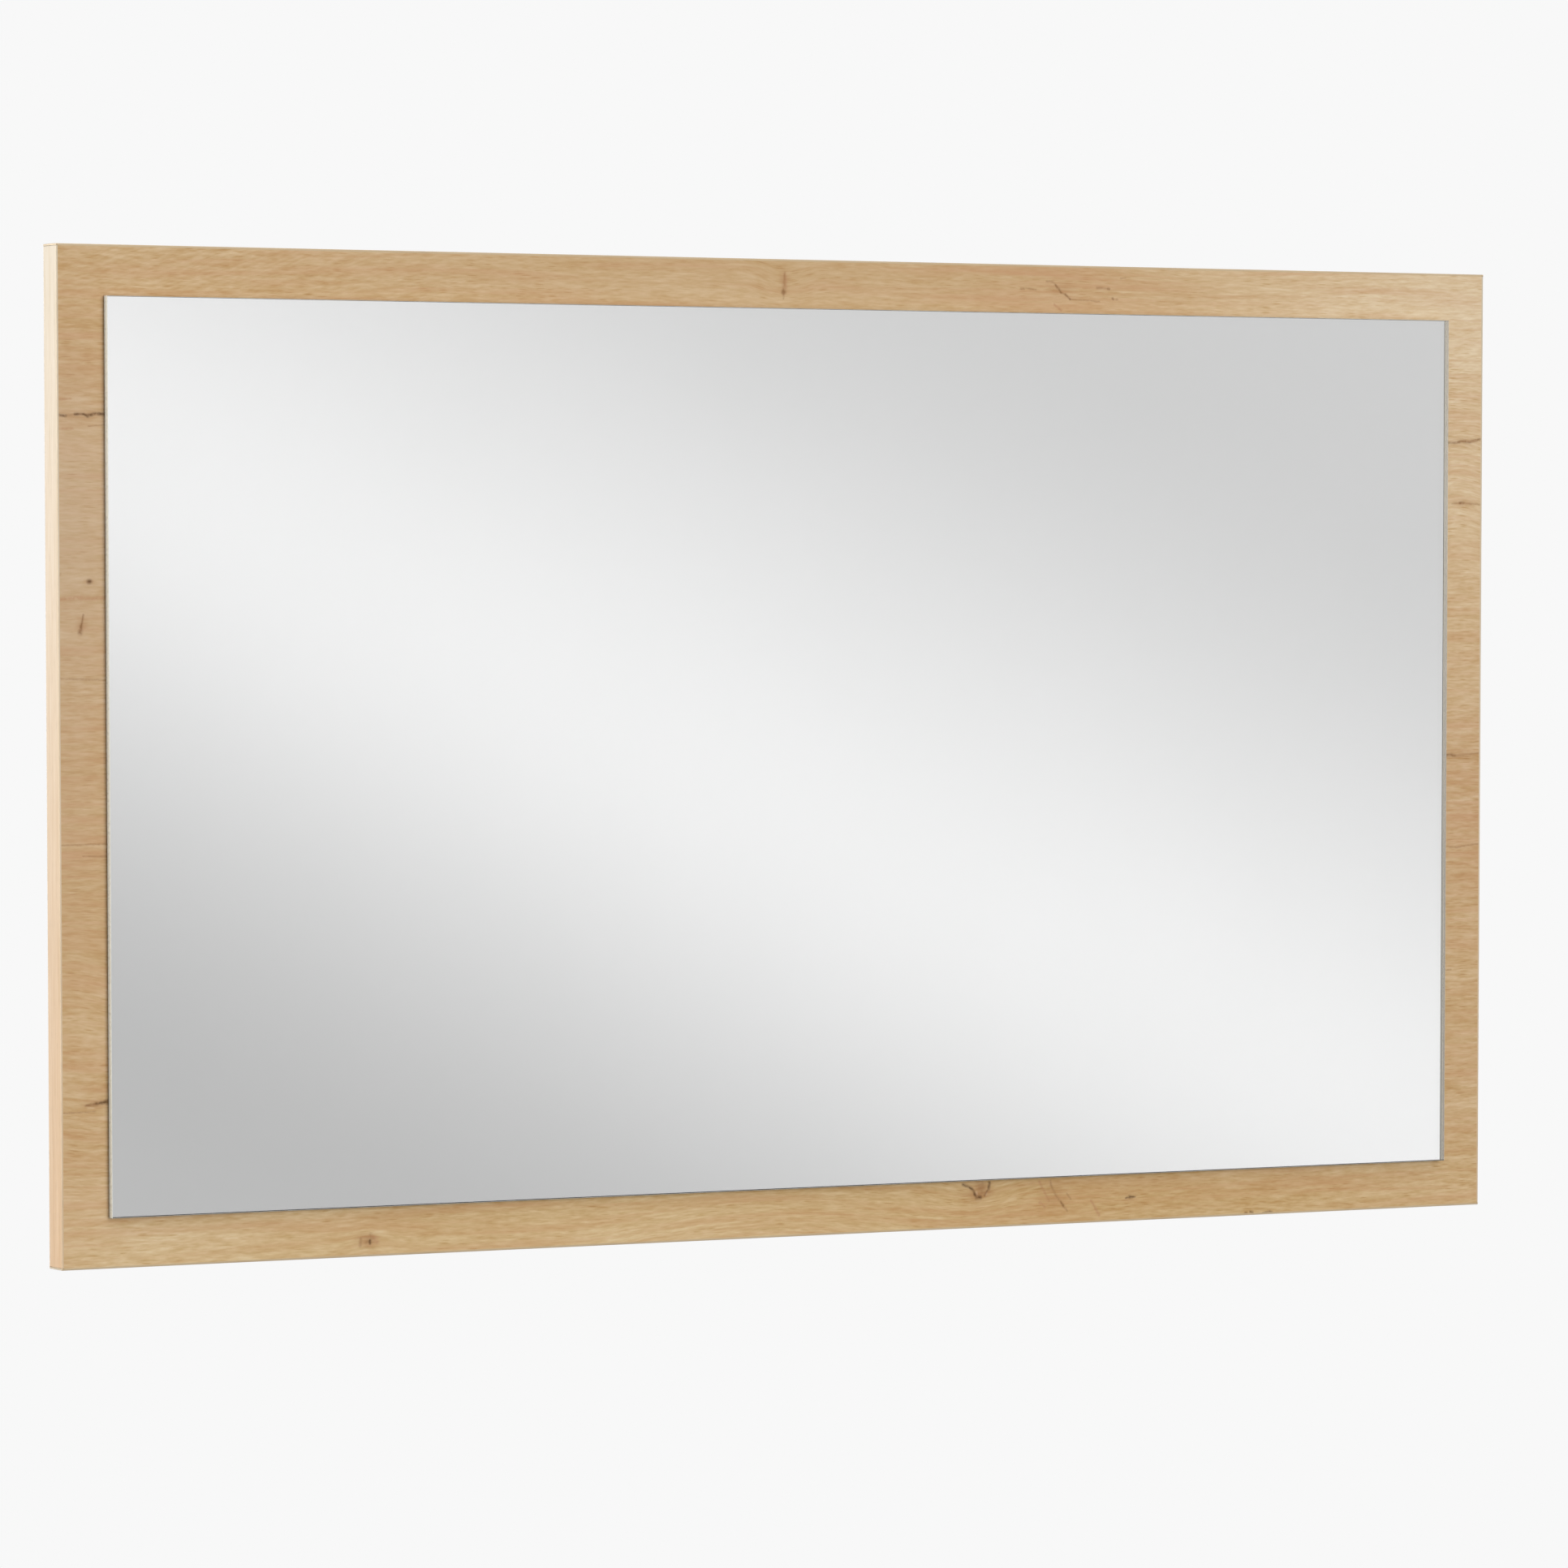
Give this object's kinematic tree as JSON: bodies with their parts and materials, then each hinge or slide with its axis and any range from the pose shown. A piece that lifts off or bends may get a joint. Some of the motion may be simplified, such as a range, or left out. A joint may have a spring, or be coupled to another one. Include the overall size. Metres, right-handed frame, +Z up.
{
  "type": "wall mirror",
  "caption": "Landscape wall mirror: a frameless mirror plate stuck on a larger oak-decor panel with edge banding, hung on keyhole plates let into the back.",
  "frame": {"origin": "centre of the panel's back face, on the wall plane", "axes": "+X right and +Z up as seen from the front, +Y into the wall, so the mirror faces -Y"},
  "size_m": [1, 0.0235, 0.6],
  "materials": {
    "oak_decor": "melamine-faced chipboard, matt printed oak with horizontal grain",
    "oak_edge_band": "pale oak ABS edge banding, satin",
    "float_glass": "clear float glass, polished flat edge with a small arris, faint green in the edge",
    "silvering": "silvered and backed with protective paint and film",
    "foam_tape": "white closed-cell foam mounting tape",
    "zinc_steel": "bright zinc-plated pressed steel"
  },
  "bodies": {
    "root": {"backing_panel": "oak_decor", "edge_band_left": "oak_edge_band", "edge_band_right": "oak_edge_band", "edge_band_top": "oak_edge_band", "edge_band_bottom": "oak_edge_band", "mirror_glass": "float_glass", "mirror_silver_film": "silvering", "mounting_tape_1": "foam_tape", "mounting_tape_2": "foam_tape", "mounting_tape_3": "foam_tape", "mounting_tape_4": "foam_tape", "mounting_tape_5": "foam_tape", "hanger_plate_left": "zinc_steel", "hanger_plate_right": "zinc_steel", "hanger_screw_left_outer": "zinc_steel", "hanger_screw_left_inner": "zinc_steel", "hanger_screw_right_outer": "zinc_steel", "hanger_screw_right_inner": "zinc_steel"}
  },
  "joints": []
}
